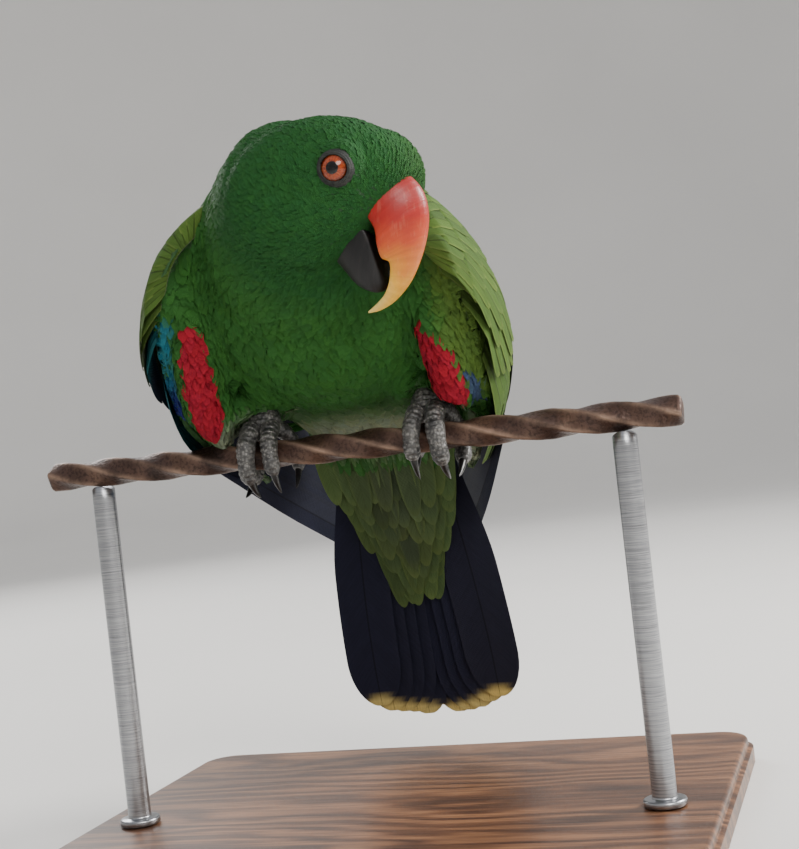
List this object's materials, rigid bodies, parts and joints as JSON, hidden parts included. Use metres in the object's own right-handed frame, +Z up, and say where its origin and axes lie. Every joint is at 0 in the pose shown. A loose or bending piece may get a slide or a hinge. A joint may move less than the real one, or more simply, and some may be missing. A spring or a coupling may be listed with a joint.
{
  "type": "perching parrot model",
  "caption": "Life-size still model of a male eclectus parrot, head bowed to its left, gripping a twisted iron bar on a display stand.",
  "frame": {"origin": "centre of the base's underside", "axes": "+Z up, the bird looks along -Y, its left side and the bar's end are at +X"},
  "size_m": [0.224, 0.2115, 0.238],
  "materials": {
    "plumage_green": "soft overlapping feathers in deep green, mossier on the back and wings",
    "plumage_red": "soft red feathers of the flank and wing lining",
    "plumage_olive": "soft yellowish green feathers under the tail",
    "plumage_blue_black": "satin tail feathers, green above, black below, with pale yellow tips",
    "plumage_grey": "short downy grey-green feathers of the thigh",
    "bill_coral": "horn with a soft gloss, coral at the base and yellow at the tip",
    "bill_black": "black horn, slightly glossy",
    "claw_black": "black horn",
    "skin_grey": "dry grey skin with small scales",
    "iris_orange": "wet orange iris with a black pupil",
    "wrought_iron": "dark brown paint over twisted square bar, satin",
    "dark_wood": "dark oiled wood with eased edges",
    "stand_steel": "satin steel rod"
  },
  "bodies": {
    "root": {"torso": "plumage_green", "head": "plumage_green", "neck": "plumage_green", "bill_upper": "bill_coral", "bill_lower": "bill_black", "tail": "plumage_blue_black", "undertail_coverts": "plumage_olive", "perch": "wrought_iron", "stand_base": "dark_wood", "stand_rod_left": "stand_steel", "stand_rod_right": "stand_steel", "eye_left": "iris_orange", "flank_left": "plumage_red", "wing_left": "plumage_green", "thigh_left": "plumage_grey", "tarsus_left": "skin_grey", "toe_left_2": "skin_grey", "claw_left_2": "claw_black", "toe_left_3": "skin_grey", "claw_left_3": "claw_black", "toe_left_1": "skin_grey", "claw_left_1": "claw_black", "toe_left_4": "skin_grey", "claw_left_4": "claw_black", "eye_right": "iris_orange", "flank_right": "plumage_red", "wing_right": "plumage_green", "thigh_right": "plumage_grey", "tarsus_right": "skin_grey", "toe_right_2": "skin_grey", "claw_right_2": "claw_black", "toe_right_3": "skin_grey", "claw_right_3": "claw_black", "toe_right_1": "skin_grey", "claw_right_1": "claw_black", "toe_right_4": "skin_grey", "claw_right_4": "claw_black"}
  },
  "joints": []
}
